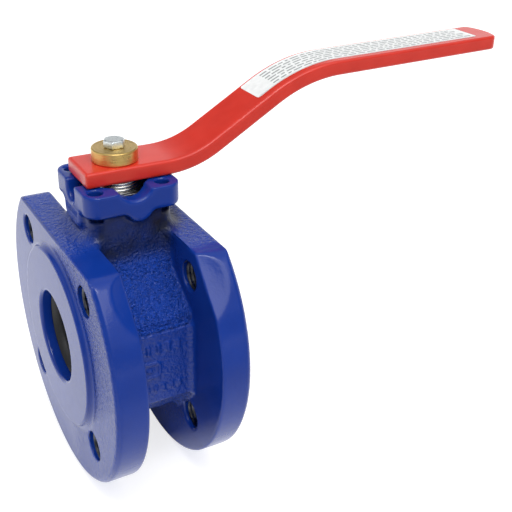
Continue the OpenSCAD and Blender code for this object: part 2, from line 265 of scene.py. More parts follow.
def surface_net(field):
    """Vertices in cells, and quads, of the zero surface of a sampled field."""
    inside = field < 0
    size = np.array(field.shape) - 1
    corners = [(i, j, k) for i in (0, 1) for j in (0, 1) for k in (0, 1)]
    filled = np.zeros(size, np.uint8)
    for i, j, k in corners:
        filled += inside[i:i + size[0], j:j + size[1], k:k + size[2]]
    cells = np.argwhere((filled > 0) & (filled < 8))
    total = np.zeros((len(cells), 3))
    hits = np.zeros(len(cells))
    for corner in corners:
        for axis in range(3):
            if corner[axis]:
                continue
            other = list(corner)
            other[axis] = 1
            start = field[tuple((cells + corner).T)]
            end = field[tuple((cells + other).T)]
            crossed = (start < 0) != (end < 0)
            point = np.tile(np.array(corner, float), (len(cells), 1))
            point[:, axis] = start / np.where(crossed, start - end, 1)
            total += np.where(crossed[:, None], point, 0)
            hits += crossed
    vertices = cells + total / hits[:, None]
    number = np.full(size, -1, np.int32)
    number[tuple(cells.T)] = np.arange(len(cells))
    quads = []
    for axis in range(3):
        unit = np.eye(3, dtype=int)
        u, v = unit[(axis + 1) % 3], unit[(axis + 2) % 3]
        near = np.moveaxis(inside, axis, 0)[:-1]
        far = np.moveaxis(inside, axis, 0)[1:]
        found = np.argwhere(np.moveaxis(near != far, 0, axis))
        ring = [number[tuple((found - shift).T)] for shift in (u + v, v, 0 * u, u)]
        ring = np.stack(ring, 1)
        leaving = inside[tuple(found.T)]
        quads.append(np.where(leaving[:, None], ring, ring[:, ::-1]))
    return vertices, np.concatenate(quads)


def sampled(field, places):
    """Value and gradient of the field at places given in cells."""
    base = np.clip(np.floor(places).astype(int), 0, np.array(field.shape) - 2)
    part = places - base
    value = np.zeros(len(places))
    slope = np.zeros((len(places), 3))
    for corner in np.ndindex(2, 2, 2):
        corner = np.array(corner)
        amount = field[tuple((base + corner).T)]
        share = np.where(corner, part, 1 - part)
        sign = np.where(corner, 1, -1)
        value += amount * share.prod(1)
        for axis in range(3):
            others = [n for n in range(3) if n != axis]
            slope[:, axis] += amount * sign[axis] * share[:, others].prod(1)
    return value, slope


def net(field_of, low, high, step):
    """Vertices in millimetres, settled onto the field's surface, and quads."""
    grid = grid_of(low, high, step)
    field = np.ascontiguousarray(field_of(*grid), dtype=np.float32)
    places, quads = surface_net(field)
    for _ in range(3):
        value, slope = sampled(field, places)
        length = np.maximum((slope ** 2).sum(1), 1e-6)
        places = places - np.clip(value / length, -0.5, 0.5)[:, None] * slope
    origin = np.array([axis.ravel()[0] for axis in grid])
    return origin + places * step, quads


def vertex_normals(points, faces):
    """Area-weighted normals of the vertices."""
    across = points[faces[:, 2]] - points[faces[:, 0]]
    down = points[faces[:, 3]] - points[faces[:, 1]]
    normal = np.cross(across, down)
    total = np.zeros_like(points)
    for corner in range(4):
        for axis in range(3):
            total[:, axis] += np.bincount(
                faces[:, corner], normal[:, axis], minlength=len(points))
    return total / np.maximum(np.linalg.norm(total, axis=1), 1e-9)[:, None]


def noise(points, cell, seed):
    """A smooth random value from -1 to 1, with features about one cell wide."""
    values = np.random.default_rng(seed).uniform(-1, 1, 4096)
    places = points / cell
    base = np.floor(places).astype(np.int64)
    part = places - base
    part = part * part * (3 - 2 * part)
    total = np.zeros(len(points))
    for corner in np.ndindex(2, 2, 2):
        lattice = base + corner
        key = lattice[:, 0] * 73856093 ^ lattice[:, 1] * 19349663 ^ lattice[:, 2] * 83492791
        total += values[key & 4095] * np.where(corner, part, 1 - part).prod(1)
    return total


def smooth_step(value, start, end):
    """0 before start, 1 after end, smooth between them."""
    t = np.clip((value - start) / (end - start), 0, 1)
    return t * t * (3 - 2 * t)


def mesh_object(name, points, faces, normals=None, masks=None):
    """A smooth-shaded object from arrays of points in millimetres and of quads."""
    mesh = bpy.data.meshes.new(name)
    mesh.vertices.add(len(points))
    mesh.vertices.foreach_set("co", (points * MM).astype(np.float32).ravel())
    mesh.loops.add(faces.size)
    mesh.loops.foreach_set("vertex_index", faces.astype(np.int32).ravel())
    mesh.polygons.add(len(faces))
    mesh.polygons.foreach_set("loop_start", np.arange(len(faces), dtype=np.int32) * faces.shape[1])
    mesh.polygons.foreach_set("use_smooth", np.ones(len(faces), bool))
    mesh.update(calc_edges=True)
    for mask, values in (masks or {}).items():
        layer = mesh.attributes.new(mask, "FLOAT", "POINT")
        layer.data.foreach_set("value", values.astype(np.float32))
    if normals is not None:
        mesh.normals_split_custom_set_from_vertices(normals)
    piece = bpy.data.objects.new(name, mesh)
    bpy.context.scene.collection.objects.link(piece)
    return piece


def finish_piece(piece, body, slot, material, *replaced):
    """Gives a piece its body and material, and hides the CAD nodes it stands for. The slot is not
    used.
    """
    piece.data.materials.append(material)
    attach(piece, body)
    if replaced:
        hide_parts(*replaced)
    return piece


def lathe(name, profile, steps=128, centre=(0.0, 0.0), along_x=False):
    """Turns a closed profile of (radius, station) points about Z, or about X."""
    count = len(profile)
    turn = (np.arange(steps) * 2 * math.pi / steps)[:, None]
    r, z = (np.tile(column, (steps, 1)) for column in np.array(profile, float).T)
    u, v = r * np.cos(turn), r * np.sin(turn)
    if along_x:
        points = np.stack([z, u, v], 2)
    else:
        points = np.stack([centre[0] + u, centre[1] + v, z], 2)
    i, j = np.meshgrid(np.arange(steps), np.arange(count), indexing="ij")
    after_i, after_j = (i + 1) % steps, (j + 1) % count
    faces = np.stack([i * count + j, after_i * count + j,
                      after_i * count + after_j, i * count + after_j], 2).reshape(-1, 4)
    return mesh_object(name, points.reshape(-1, 3), faces)


# ---- Materials ----

class Nodes:
    """A material under construction: its principled shader, and nodes that feed it."""

    def __init__(self, name, colour, roughness, metallic=0.0, **sockets):
        self.material = bpy.data.materials.new(name)
        self.material.use_nodes = True
        self.tree = self.material.node_tree
        self.shader = self.tree.nodes["Principled BSDF"]
        self.shader.inputs["Base Color"].default_value = (*colour, 1)
        self.shader.inputs["Roughness"].default_value = roughness
        self.shader.inputs["Metallic"].default_value = metallic
        for socket, value in sockets.items():
            self.shader.inputs[socket.replace("_", " ")].default_value = value
        self.coordinates = self.tree.nodes.new("ShaderNodeTexCoord").outputs["Object"]

    def node(self, kind, inputs=None, **settings):
        """A node of that kind, with its inputs linked or set."""
        made = self.tree.nodes.new("ShaderNode" + kind)
        for setting, value in settings.items():
            setattr(made, setting, value)
        for socket, value in (inputs or {}).items():
            if isinstance(value, bpy.types.NodeSocket):
                self.tree.links.new(value, made.inputs[socket])
            else:
                made.inputs[socket].default_value = value
        return made

    def feed(self, socket, output):
        """Links an output to a socket of the shader."""
        self.tree.links.new(output, self.shader.inputs[socket])

    def noise(self, scale, detail=2.0, roughness=0.5, stretch=None):
        """Noise from 0 to 1; scale is in features per metre."""
        vector = self.coordinates
        if stretch:
            vector = self.node("Mapping", {"Vector": vector, "Scale": stretch}).outputs[0]
        inputs = {"Vector": vector, "Scale": scale, "Detail": detail, "Roughness": roughness}
        return self.node("TexNoise", inputs).outputs["Fac"]

    def ramp(self, value, low, high, to_low=0.0, to_high=1.0):
        """The value stretched from low..high to to_low..to_high."""
        inputs = {"Value": value, "From Min": low, "From Max": high,
                  "To Min": to_low, "To Max": to_high}
        return self.node("MapRange", inputs).outputs[0]

    def maths(self, operation, a, b):
        return self.node("Math", {0: a, 1: b}, operation=operation).outputs[0]

    def mask(self, name):
        """A mask stored on the mesh."""
        return self.node("Attribute", attribute_name=name).outputs["Fac"]

    def mix(self, share, a, b):
        """Two colours mixed by share."""
        inputs = {0: share}
        made = self.node("Mix", inputs, data_type="RGBA")
        for socket, value in ((6, a), (7, b)):
            if isinstance(value, bpy.types.NodeSocket):
                self.tree.links.new(value, made.inputs[socket])
            else:
                made.inputs[socket].default_value = (*value, 1)
        return made.outputs[2]

    def bump(self, height, depth, strength=1.0, under=None):
        """A bump of that depth in metres, on top of another one."""
        inputs = {"Height": height, "Distance": depth, "Strength": strength}
        if under:
            inputs["Normal"] = under
        return self.node("Bump", inputs).outputs[0]


def blue_paint():
    """Gloss paint: faint unevenness everywhere; where the masks say, cast grain with a lighter
    colour as painted light, and grime with painted shade under the pad.
    """
    m = Nodes("blue_paint", (0.004, 0.03, 0.26), 0.18, IOR=1.38)
    clouds = m.ramp(m.noise(45, 3), 0.3, 0.7)
    colour = m.mix(clouds, (0.0036, 0.029, 0.232), (0.0048, 0.035, 0.268))
    # Painted light: the rough cast zones get a lighter blue, most of all the barrel between the
    # flanges, so it looks lit where the flanges and pad shade it.
    colour = m.mix(m.mask("cast"), colour, (0.009, 0.055, 0.39))
    patches = m.ramp(m.noise(38, 4, 0.6), 0.34, 0.6, 0.45, 1.0)
    # Painted shade and dirt: the neck under the pad is darkened, with dark navy for the shade of
    # the pad and brownish patches for dirt.
    grime_and_shade = m.maths("MULTIPLY", m.mask("grime_and_shade"), patches)
    dirt_and_shade = m.mix(m.ramp(m.noise(70, 3), 0.5, 0.66), (0.002, 0.005, 0.024), (0.010, 0.007, 0.006))
    m.feed("Base Color", m.mix(grime_and_shade, colour, dirt_and_shade))
    roughness = m.ramp(m.noise(200, 2), 0.3, 0.7, 0.15, 0.21)
    m.feed("Roughness", m.maths("ADD", roughness, m.maths("MULTIPLY", grime_and_shade, 0.16)))
    uneven = m.bump(m.noise(300, 1), 0.00006, 0.3)
    coarse = m.maths("MULTIPLY", m.noise(620, 1), m.mask("cast"))
    fine = m.maths("MULTIPLY", m.noise(1300, 2, 0.6), m.mask("cast"))
    rough = m.bump(coarse, 0.0030, 1.0, uneven)
    m.feed("Normal", m.bump(fine, 0.0012, 1.0, rough))
    return m.material


def red_coating():
    """Thick glossy coating with a faint orange peel and slight blotches in its tone."""
    m = Nodes("red_coating", (0.55, 0.03, 0.015), 0.26, IOR=1.46)
    colour = m.mix(m.ramp(m.noise(60, 3), 0.3, 0.7), (0.58, 0.026, 0.014), (0.66, 0.033, 0.018))
    m.feed("Base Color", colour)
    m.feed("Roughness", m.ramp(m.noise(150, 2), 0.3, 0.7, 0.2, 0.26))
    m.feed("Normal", m.bump(m.noise(250, 1), 0.00006, 0.3))
    return m.material


def turned_metal(name, colour, light, roughness, ring_scale=2600.0, groove=0.00003):
    """Turned metal: fine rings about the axis, with small stains."""
    m = Nodes(name, colour, roughness, 1.0)
    parts = m.node("SeparateXYZ", {"Vector": m.coordinates}).outputs
    radius = m.maths("SQRT", m.maths("ADD", m.maths("MULTIPLY", parts[0], parts[0]),
                                    m.maths("MULTIPLY", parts[1], parts[1])), 0.0)
    way = m.node("CombineXYZ", {0: radius, 1: parts[2]}).outputs[0]
    rings = m.node("TexNoise", {"Vector": way, "Scale": ring_scale, "Detail": 2.0}).outputs["Fac"]
    stain = m.noise(240, 4, 0.6)
    shade = m.maths("ADD", m.maths("MULTIPLY", rings, 0.6), m.maths("MULTIPLY", stain, 0.4))
    m.feed("Base Color", m.mix(m.ramp(shade, 0.35, 0.65), colour, light))
    m.feed("Roughness", m.ramp(stain, 0.3, 0.7, roughness * 0.8, roughness * 1.3))
    m.feed("Normal", m.bump(rings, groove))
    return m.material


def plain_metal(name, colour, light, roughness, scale=900.0, scratches=0.4):
    """Metal with mottled brightness and fine scratches."""
    m = Nodes(name, colour, roughness, 1.0)
    mottle = m.noise(scale, 4, 0.6)
    m.feed("Base Color", m.mix(m.ramp(mottle, 0.35, 0.65), colour, light))
    m.feed("Roughness", m.ramp(mottle, 0.3, 0.7, roughness * 0.8, roughness * 1.3))
    m.feed("Normal", m.bump(m.noise(3000, 2, 0.5, (1, 1, 0.1)), 0.00004, scratches))
    return m.material


def soft_plastic(name, colour, light, roughness, scale=1500.0):
    """Plastic or rubber with slight mottling and a fine satin grain."""
    m = Nodes(name, colour, roughness)
    mottle = m.noise(scale, 3)
    m.feed("Base Color", m.mix(m.ramp(mottle, 0.35, 0.65), colour, light))
    m.feed("Roughness", m.ramp(mottle, 0.3, 0.7, roughness * 0.85, roughness * 1.15))
    m.feed("Normal", m.bump(m.noise(4000, 2), 0.00003, 0.4))
    return m.material


MATERIALS = {
    "blue_paint": blue_paint(),
    "red_coating": red_coating(),
    "label": soft_plastic("label_film", (0.80, 0.81, 0.80), (0.88, 0.89, 0.88), 0.38, 300),
    "brass": turned_metal(
        "brass", (0.60, 0.40, 0.125), (0.74, 0.53, 0.20), 0.3, 2600.0, 0.00016),
    "zinc_plate": plain_metal("zinc_plate", (0.60, 0.65, 0.66), (0.78, 0.82, 0.81), 0.3),
    # Painted shade: this polished steel is given a dark colour, so the ball looks as it does in the
    # shade of the bore.
    "polished_steel": turned_metal(
        "polished_steel", (0.28, 0.28, 0.27), (0.44, 0.43, 0.41), 0.2, 900),
    "turned_steel": turned_metal("turned_steel", (0.42, 0.42, 0.42), (0.60, 0.60, 0.60), 0.28),
    "spring_steel": plain_metal(
        "spring_steel", (0.76, 0.75, 0.72), (0.86, 0.85, 0.82), 0.2, 200, 0.08),
    "dark_steel": plain_metal("dark_steel", (0.16, 0.16, 0.17), (0.30, 0.30, 0.31), 0.34, 500),
    # Black filled PTFE, darkened further to near black as painted shade for the seats deep in the
    # bore.
    "filled_ptfe": soft_plastic("filled_ptfe", (0.010, 0.010, 0.012), (0.024, 0.024, 0.025), 0.45),
    "ptfe": soft_plastic("ptfe", (0.70, 0.70, 0.66), (0.84, 0.84, 0.80), 0.4),
    "seal_rubber": soft_plastic("seal_rubber", (0.012, 0.012, 0.012), (0.03, 0.03, 0.03), 0.5),
}
# Painted shade: the bare thread metal gets a near-black bluish colour for the shade inside the bolt
# holes.
THREAD_METAL = plain_metal("bare_thread_painted_shade", (0.02, 0.026, 0.045), (0.15, 0.15, 0.15), 0.3, 260)
INK = soft_plastic("label_ink", (0.22, 0.24, 0.24), (0.34, 0.36, 0.36), 0.5)


# ---- Valve body ----

def flange_outline(y, z):
    """Round flange with a flat on top; the corners between them are rounded."""
    centre_z = FLAT_Z - FLAT_CORNER_R
    centre_y = math.sqrt((FLANGE_R - FLAT_CORNER_R) ** 2 - centre_z ** 2)
    u = np.abs(y) - centre_y
    v = z - centre_z
    in_corner = (u > 0) & (u * centre_z < v * centre_y)
    sharp = np.maximum(np.hypot(y, z) - FLANGE_R, z - FLAT_Z)
    return np.where(in_corner, np.hypot(u, v) - FLAT_CORNER_R, sharp)


def barrel_outline(y, z):
    """Barrel section: slopes, a ledge above each side panel, the panels and the belly."""
    half = [(12.0, 49.0), (45.7, 22.5), (46.0, 19.2), (PANEL_Y - 0.1, 17.8),
            (PANEL_Y, -24.0), (26.0, -47.0)]
    corners = half + [(-u, v) for u, v in reversed(half)]
    return polygon(y, z, rounded_outline(corners, 0.6))


def panel_marks(x, z):
    """Plain raised bars, a frame and dots, which stand for the markings on the casting."""
    marks = []
    for i in range(5):
        marks.append(rounded_box(x + 11.5 - 5.6 * i, z - 9.0, 0.8, 2.9, 0.7))
    frame_out = rounded_box(x + 5.5, z + 3.5, 6.5, 5.0, 3.0)
    marks.append(np.abs(frame_out + 0.8) - 0.8)
    marks.append(np.hypot(x + 5.5, z + 3.5) - 1.3)
    for i in range(6):
        marks.append(rounded_box(x + 11.5 - 4.5 * i, z + 15.5, 1.1, 1.5 + 0.5 * (i % 2), 0.6))
    return any_of(*marks)


def flanges_field(x, y, z):
    """Both flanges with their raised faces."""
    side = np.abs(x)
    radius = np.hypot(y, z)
    outline = flange_outline(y, z)
    flange = common(outline, side - FLANGE_X, 0.5)
    flange = common(flange, GAP_X - side, 1.1)
    chamfer = (radius - FLANGE_R + side - FLANGE_X + RIM_CHAMFER) / math.sqrt(2)
    flange = common(flange, chamfer, 0.5)
    raised = common(radius - RAISED_R, side - FACE_X, 0.35)
    raised = np.maximum(raised, GAP_X + 4 - side)
    return joined(flange, raised, RAISED_COVE)


def pad_field(x, y, z):
    """The square pad, with lugs below its near side and its inlet side, flush with its walls."""
    near_lug = np.hypot(x - NEAR_LUG_X, z - LUG_Z) - NEAR_LUG_R
    near_lug = np.maximum(near_lug, y + 8)
    inlet_lug = rounded_box(y, z - LUG_Z, *INLET_LUG_HALF, INLET_LUG_CORNER_R)
    inlet_lug = np.maximum(inlet_lug, x + 8)
    under = joined(joined(PAD_BOTTOM - z, near_lug, 2.0), inlet_lug, 3.0)
    pad = rounded_box(x - NECK_X, y, PAD_HALF, PAD_HALF, PAD_CORNER_R)
    return common(common(pad, z - PAD_Z, 0.7), under, 2.0)


def pad_openings_field(x, y, z):
    """Recess, notch and screw holes of the pad."""
    recess = np.maximum(np.hypot(x, y) - RECESS_R, RECESS_Z - z)
    notch_d = np.hypot(x - NOTCH_X, z - NOTCH_Z) - NOTCH_R
    bevel = (notch_d + y + PAD_HALF - NOTCH_BEVEL) / math.sqrt(2)
    notch = np.maximum(np.minimum(notch_d, bevel), y)
    holes = np.hypot(np.abs(x) - PAD_HOLE, np.abs(y) - PAD_HOLE) - PAD_HOLE_R
    holes = np.minimum(holes, (holes + PAD_Z - 0.5 - z) / math.sqrt(2))
    holes = np.maximum(holes, PAD_BOTTOM - 4 - z)
    return np.minimum(np.minimum(recess, notch), holes)


def window_field(x, y, z):
    """The round-bottomed slot in the pad's inlet side."""
    low = RECESS_Z + WINDOW_HALF
    slot = np.where(z < low, np.hypot(y, z - low), np.abs(y)) - WINDOW_HALF
    return np.maximum(slot, x + RECESS_R - 3)


def cavity_field(x, y, z):
    """Everything hollow inside: pipe bore, seat pocket, ball chamber, retainer bore, stem ways."""
    radius = np.hypot(y, z)
    bore = np.minimum(radius - BORE_R, (radius - BORE_R - 1 + x + FACE_X) / math.sqrt(2))
    bore = np.maximum(bore, x)
    seat = np.maximum(radius - SEAT_R, np.abs(x + SEAT_BACK / 2) - SEAT_BACK / 2)
    ball = np.minimum(np.sqrt(x * x + radius * radius) - CAVITY_R,
                      np.maximum(radius - CAVITY_R, np.abs(x - 12) - 12))
    retainer = np.maximum(radius - RETAINER_R, SHOULDER_X - x)
    around = np.hypot(x, y)
    collar = np.maximum(around - COLLAR_R, np.abs(z - 20) - (WASHER_TOP - 20))
    stem = np.maximum(around - STEM_R - STEM_CLEARANCE, np.abs(z - 40) - 20)
    box = np.maximum(around - BOX_R, np.abs(z - 67) - (67 - BOX_Z))
    return any_of(bore, seat, ball, retainer, collar, stem, box)


def body_field(x, y, z):
    """The whole casting."""
    side = np.abs(x)
    body = flanges_field(x, y, z)
    barrel = np.maximum(barrel_outline(y, z), side - GAP_X - 4)
    body = joined(body, barrel, BARREL_FILLET)
    marks = np.maximum(panel_marks(x, z), np.abs(np.abs(y) - PANEL_Y) - MARK_HEIGHT)
    body = joined(body, marks, 0.5)
    neck = rounded_box(x - NECK_X, y, *NECK_HALF, NECK_CORNER_R)
    neck = np.maximum(neck, np.abs(z - 59) - 19)
    body = joined(body, neck, NECK_FILLET)
    body = joined(body, pad_field(x, y, z), PAD_FILLET)
    body = without(body, pad_openings_field(x, y, z), 0.5)
    body = without(body, window_field(x, y, z), 1.6)
    body = without(body, cavity_field(x, y, z), 0.3)
    offset = BOLT_CIRCLE_R * math.sqrt(0.5)
    holes = np.hypot(np.abs(y) - offset, np.abs(z) - offset) - THREAD_R
    outer_mouth = (holes + FLANGE_X - 0.6 - side) / math.sqrt(2)
    inner_mouth = np.maximum((holes + side - GAP_X - 0.6) / math.sqrt(2), GAP_X - 0.6 - side)
    holes = any_of(holes, outer_mouth, inner_mouth)
    holes = np.maximum(holes, GAP_X - 5 - side)
    return without(body, holes, 0.4)


def body_masks(points):
    """Where the casting is rough and its paint is lightened as painted light, and where grime and
    painted shade darken the neck under the pad.
    """
    x, y, z = points.T
    side = np.abs(x)
    radius = np.hypot(y, z)
    around_neck = np.hypot(x - NECK_X, y)
    face = smooth_step(side, FLANGE_X - 1.2, FLANGE_X - 0.4)
    hidden = (radius < CAVITY_R + 4) & (z < 40) | (around_neck < RECESS_R + 0.5) & (z > 40)
    gap = (1 - smooth_step(side, GAP_X - 2, GAP_X + 0.6)) * (1 - smooth_step(radius, 60, 74))
    gap = gap * (1 - 0.8 * smooth_step(-y, PANEL_Y - 2, PANEL_Y - 0.5))
    below_pad = 1 - smooth_step(z, 66, 72)
    flats = smooth_step(z, FLAT_Z - 0.6, FLAT_Z - 0.1) * below_pad
    far_part = np.where(x > 0, smooth_step(y, -50, -40), smooth_step(y, -34, -16))
    # Cast grain, with the paint lighter there as painted light: full between the flanges, partial
    # on the far flats and the face annulus.
    cast = np.maximum(gap * below_pad, FLAT_GRAIN * flats * far_part)
    cast = np.maximum(cast, BARE_GRAIN) * (1 - face)
    annulus = face * smooth_step(radius, RAISED_R + 3, RAISED_R + 6)
    cast = cast + FACE_GRAIN * annulus * smooth_step(-y, 0, 25)
    cast = np.where(hidden | (z > PAD_BOTTOM), 0.0, cast)
    # Grime and painted shade: darkens the neck below the pad, less towards the inlet side and not
    # on the lugs.
    grime_and_shade = smooth_step(z, 43, 53) * (1 - smooth_step(around_neck, 27, 36)) * (z < 76.5)
    lug = (z > 66) & (np.maximum(np.abs(x - NECK_X), np.abs(y)) > PAD_HALF - 1.3)
    grime_and_shade = np.where(lug, 0.0, grime_and_shade * (1 - 0.75 * smooth_step(-x, 17, 24)))
    return cast * (1 - 0.7 * grime_and_shade), np.clip(grime_and_shade, 0, 1)


def make_body():
    """The casting in four pieces of one seamless skin."""
    low = (-FACE_X, -FLANGE_R, -FLANGE_R)
    high = (FACE_X, FLANGE_R, PAD_Z)
    points, quads = net(body_field, low, high, step=0.7)
    cast, grime_and_shade = body_masks(points)
    normals = vertex_normals(points, quads)
    relief = 0.6 * noise(points, 2.3, 1) + 0.4 * noise(points, 1.5, 2)
    points = points + normals * (cast * (RELIEF_HEIGHT * relief - RELIEF_SINK))[:, None]
    normals = vertex_normals(points, quads)
    middle = points[quads].mean(1)
    above = middle[:, 2] > FLAT_Z + 0.6
    flange = (np.abs(middle[:, 0]) > GAP_X) & ~above
    parts = {
        "flange_inlet": flange & (middle[:, 0] < 0),
        "flange_outlet": flange & (middle[:, 0] > 0),
        "barrel": ~flange & ~above,
        "neck_and_pad": above,
    }
    for name, chosen in parts.items():
        used, faces = np.unique(quads[chosen], return_inverse=True)
        masks = {"cast": cast[used], "grime_and_shade": grime_and_shade[used]}
        piece = mesh_object(name, points[used], faces.reshape(-1, 4), normals[used], masks)
        finish_piece(piece, "valve_body", "blue_paint", MATERIALS["blue_paint"], "body")


def make_threads():
    """Helical threads in the four holes of each flange, running out at both ends."""
    crest = [(0.0, 0.0), (0.42, 1.0), (0.58, 1.0), (1.0, 0.0)]
    length = FLANGE_X - GAP_X - 1.0
    count = int((length / THREAD_PITCH - 1) * THREAD_STEPS)
    offset = BOLT_CIRCLE_R * math.sqrt(0.5)
    rows = len(crest)
    for name, start in (("threads_inlet", -FLANGE_X + 0.5), ("threads_outlet", GAP_X + 0.5)):
        points, faces = [], []
        for side_y, side_z in ((-1, -1), (-1, 1), (1, -1), (1, 1)):
            base = len(points)
            for i in range(count + 1):
                turns = i / THREAD_STEPS
                a = turns * 2 * math.pi
                height = min(1.0, turns, (count - i) / THREAD_STEPS)
                for share, part in crest:
                    r = THREAD_ROOT_R - (THREAD_ROOT_R - THREAD_CREST_R) * part * height
                    points.append((start + (turns + share) * THREAD_PITCH,
                                   side_y * offset + r * math.cos(a),
                                   side_z * offset + r * math.sin(a)))
            for i in range(count):
                for j in range(rows - 1):
                    here = base + i * rows + j
                    faces.append((here, here + 1, here + rows + 1, here + rows))
        piece = mesh_object(name, np.array(points), np.array(faces))
        finish_piece(piece, "valve_body", "dark_steel", THREAD_METAL, "body")


# ---- Ball, seats and retainer ----

def ball_field(x, y, z):
    """A bored ball with the slot for the stem's tang."""
    radius = np.hypot(y, z)
    ball = np.sqrt(x * x + radius * radius) - BALL_R
    ball = without(ball, radius - BORE_R, 0.8)
    slot = np.maximum(np.abs(x) - TANG_SLOT_HALF, TANG_SLOT_FLOOR - z)
    return without(ball, slot, 0.4)


def retainer_field(x, y, z):
    """The threaded ring that holds the outlet seat, with its spanner holes."""
    radius = np.hypot(y, z)
    end = FACE_X - 0.4
    ring = common(radius - RETAINER_R + 0.05, x - end, 0.5)
    ring = np.maximum(ring, SHOULDER_X + 1 - x)
    bore = np.minimum(radius - BORE_R, (radius - BORE_R - 1 + end - x) / math.sqrt(2))
    pocket = np.maximum(radius - SEAT_R, x - SEAT_BACK)
    ring = without(without(ring, bore, 0.2), pocket, 0.2)
    middle = (BORE_R + RETAINER_R) / 2
    near_y, near_z = np.abs(y), np.abs(z)
    hole = np.minimum(np.hypot(near_y - middle, z), np.hypot(y, near_z - middle))
    hole = np.maximum(hole - SPANNER_HOLE_R, end - SPANNER_HOLE_DEPTH - x)
    return without(ring, hole, 0.3)


def make_ball_and_retainer():
    points, quads = net(ball_field, (-BALL_R,) * 3, (BALL_R,) * 3, step=0.8)
    ball = mesh_object("ball_turned", points, quads)
    finish_piece(ball, "ball", "polished_steel", MATERIALS["polished_steel"], "ball")
    low = (SHOULDER_X, -RETAINER_R, -RETAINER_R)
    high = (40, RETAINER_R, RETAINER_R)
    points, quads = net(retainer_field, low, high, step=0.7)
    zero = np.zeros(len(points))
    ring = mesh_object("retainer_painted", points, quads, None, {"cast": zero, "grime_and_shade": zero})
    finish_piece(ring, "valve_body", "blue_paint", MATERIALS["blue_paint"], "retainer_ring")


def make_seats():
    """Turned seat rings whose inner corner is cut to the ball."""
    for name, side in (("seat_inlet", -1), ("seat_outlet", 1)):
        low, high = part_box(name)
        inner, outer = sorted((abs(low.x) / MM, abs(high.x) / MM))
        near_r = BALL_R + BALL_CLEARANCE
        stations = np.linspace(SEAT_TIP_X, inner, 9)
        touch = [(math.sqrt(near_r ** 2 - s * s), s) for s in stations]
        bore = [(BORE_R, outer), (BORE_R, SEAT_TIP_X + 0.1)]
        profile = bore + touch + [(SEAT_R, inner), (SEAT_R, outer)]
        profile = [(r, side * s) for r, s in profile]
        seat = lathe(name + "_turned", profile[:: side], 160, along_x=True)
        finish_piece(seat, "valve_body", "filled_ptfe", MATERIALS["filled_ptfe"], name)


# ---- Lever ----

LEVEL_END = LEVER_TAIL + BEND_START
UP_END = LEVEL_END + BEND_UP_R * SLOPE
INCLINE_END = UP_END + INCLINE
DOWN_END = INCLINE_END + BEND_DOWN_R * (SLOPE - END_SLOPE)
LEVER_LENGTH = DOWN_END + HAND_END


def lever_heading(s):
    """Slope of the lever's centre line at distances from its tail."""
    up = np.clip((s - LEVEL_END) / BEND_UP_R, 0, SLOPE)
    down = np.clip((s - INCLINE_END) / BEND_DOWN_R, 0, SLOPE - END_SLOPE)
    return up - down


def lever_centre(s):
    """Points of the centre line, by summing short steps along it."""
    stations = np.arange(0, LEVER_LENGTH + 10, 0.05)
    slope = lever_heading(stations + 0.025)
    x = np.concatenate([[0], np.cumsum(np.cos(slope) * 0.05)]) - LEVER_TAIL
    z = np.concatenate([[0], np.cumsum(np.sin(slope) * 0.05)]) + LEVER_Z
    places = np.append(stations, stations[-1] + 0.05)
    beyond = np.minimum(s, 0)
    return np.interp(s, places, x) + beyond, np.interp(s, places, z)


def bent(points):
    """Bends points given as (distance along the lever, y, rise) into place."""
    s, y, rise = points.T
    slope = lever_heading(s)
    x, z = lever_centre(s)
    return np.stack([x - rise * np.sin(slope), y, z + rise * np.cos(slope)], 1)


def lever_field(s, y, rise):
    """The straight bar before bending: bowed hand end, square hole, rounded edges."""
    half = LEVER_W / 2
    bow = np.hypot(np.maximum(s - LEVER_LENGTH + 30, 0), y) - 30
    outline = common(bow, np.abs(y) - half, 3.0)
    outline = common(outline, -s, 1.5)
    bar = common(outline, np.abs(rise) - LEVER_T / 2, LEVER_EDGE_R)
    square = np.maximum(np.abs(s - LEVER_TAIL), np.abs(y)) - SQUARE_HALF
    return without(bar, square, 0.4)


def make_lever():
    low = (0, -LEVER_W / 2, -LEVER_T / 2)
    high = (LEVER_LENGTH, LEVER_W / 2, LEVER_T / 2)
    points, quads = net(lever_field, low, high, step=0.62)
    lever = mesh_object("lever_coated", bent(points), quads)
    finish_piece(lever, "operator", "red_coating", MATERIALS["red_coating"], "lever")


def make_label():
    """Thin printed film along the hand end, with rounded corners."""
    across = np.linspace(-1, 1, 13)
    ends = LABEL_CORNER_R * (1 - np.cos(np.linspace(0, math.pi / 2, 6)))
    along = np.concatenate([ends, np.arange(3, LABEL_LENGTH - 2, 1.5), LABEL_LENGTH - ends[::-1]])
    inset = np.minimum(along, LABEL_LENGTH - along)
    notch = np.maximum(LABEL_CORNER_R - inset, 0)
    half = LABEL_W / 2 - LABEL_CORNER_R + np.sqrt(LABEL_CORNER_R ** 2 - notch ** 2)
    top = LEVER_T / 2 + LABEL_RISE
    rows = []
    for s, h in zip(along + LABEL_START, half):
        rows.append([(s, LABEL_Y + h * a, top) for a in across])
    points = np.array(rows)
    count, wide = points.shape[:2]
    i, j = np.meshgrid(np.arange(count - 1), np.arange(wide - 1), indexing="ij")
    here = i * wide + j
    faces = np.stack([here, here + wide, here + wide + 1, here + 1], 2).reshape(-1, 4)
    rim = np.concatenate([np.arange(count) * wide,
                          (count - 1) * wide + np.arange(1, wide),
                          (np.arange(count - 2, -1, -1)) * wide + wide - 1,
                          np.arange(wide - 2, 0, -1)])
    flat = points.reshape(-1, 3)
    skirt = flat[rim] - np.array([0, 0, LABEL_RISE + 0.02])
    number = len(flat) + np.arange(len(rim))
    sides = np.stack([rim, number, np.roll(number, -1), np.roll(rim, -1)], 1)
    points = bent(np.concatenate([flat, skirt]))
    label = mesh_object("label_film", points, np.concatenate([faces, sides[:, ::-1]]))
    finish_piece(label, "operator", "label", MATERIALS["label"], "lever_label")


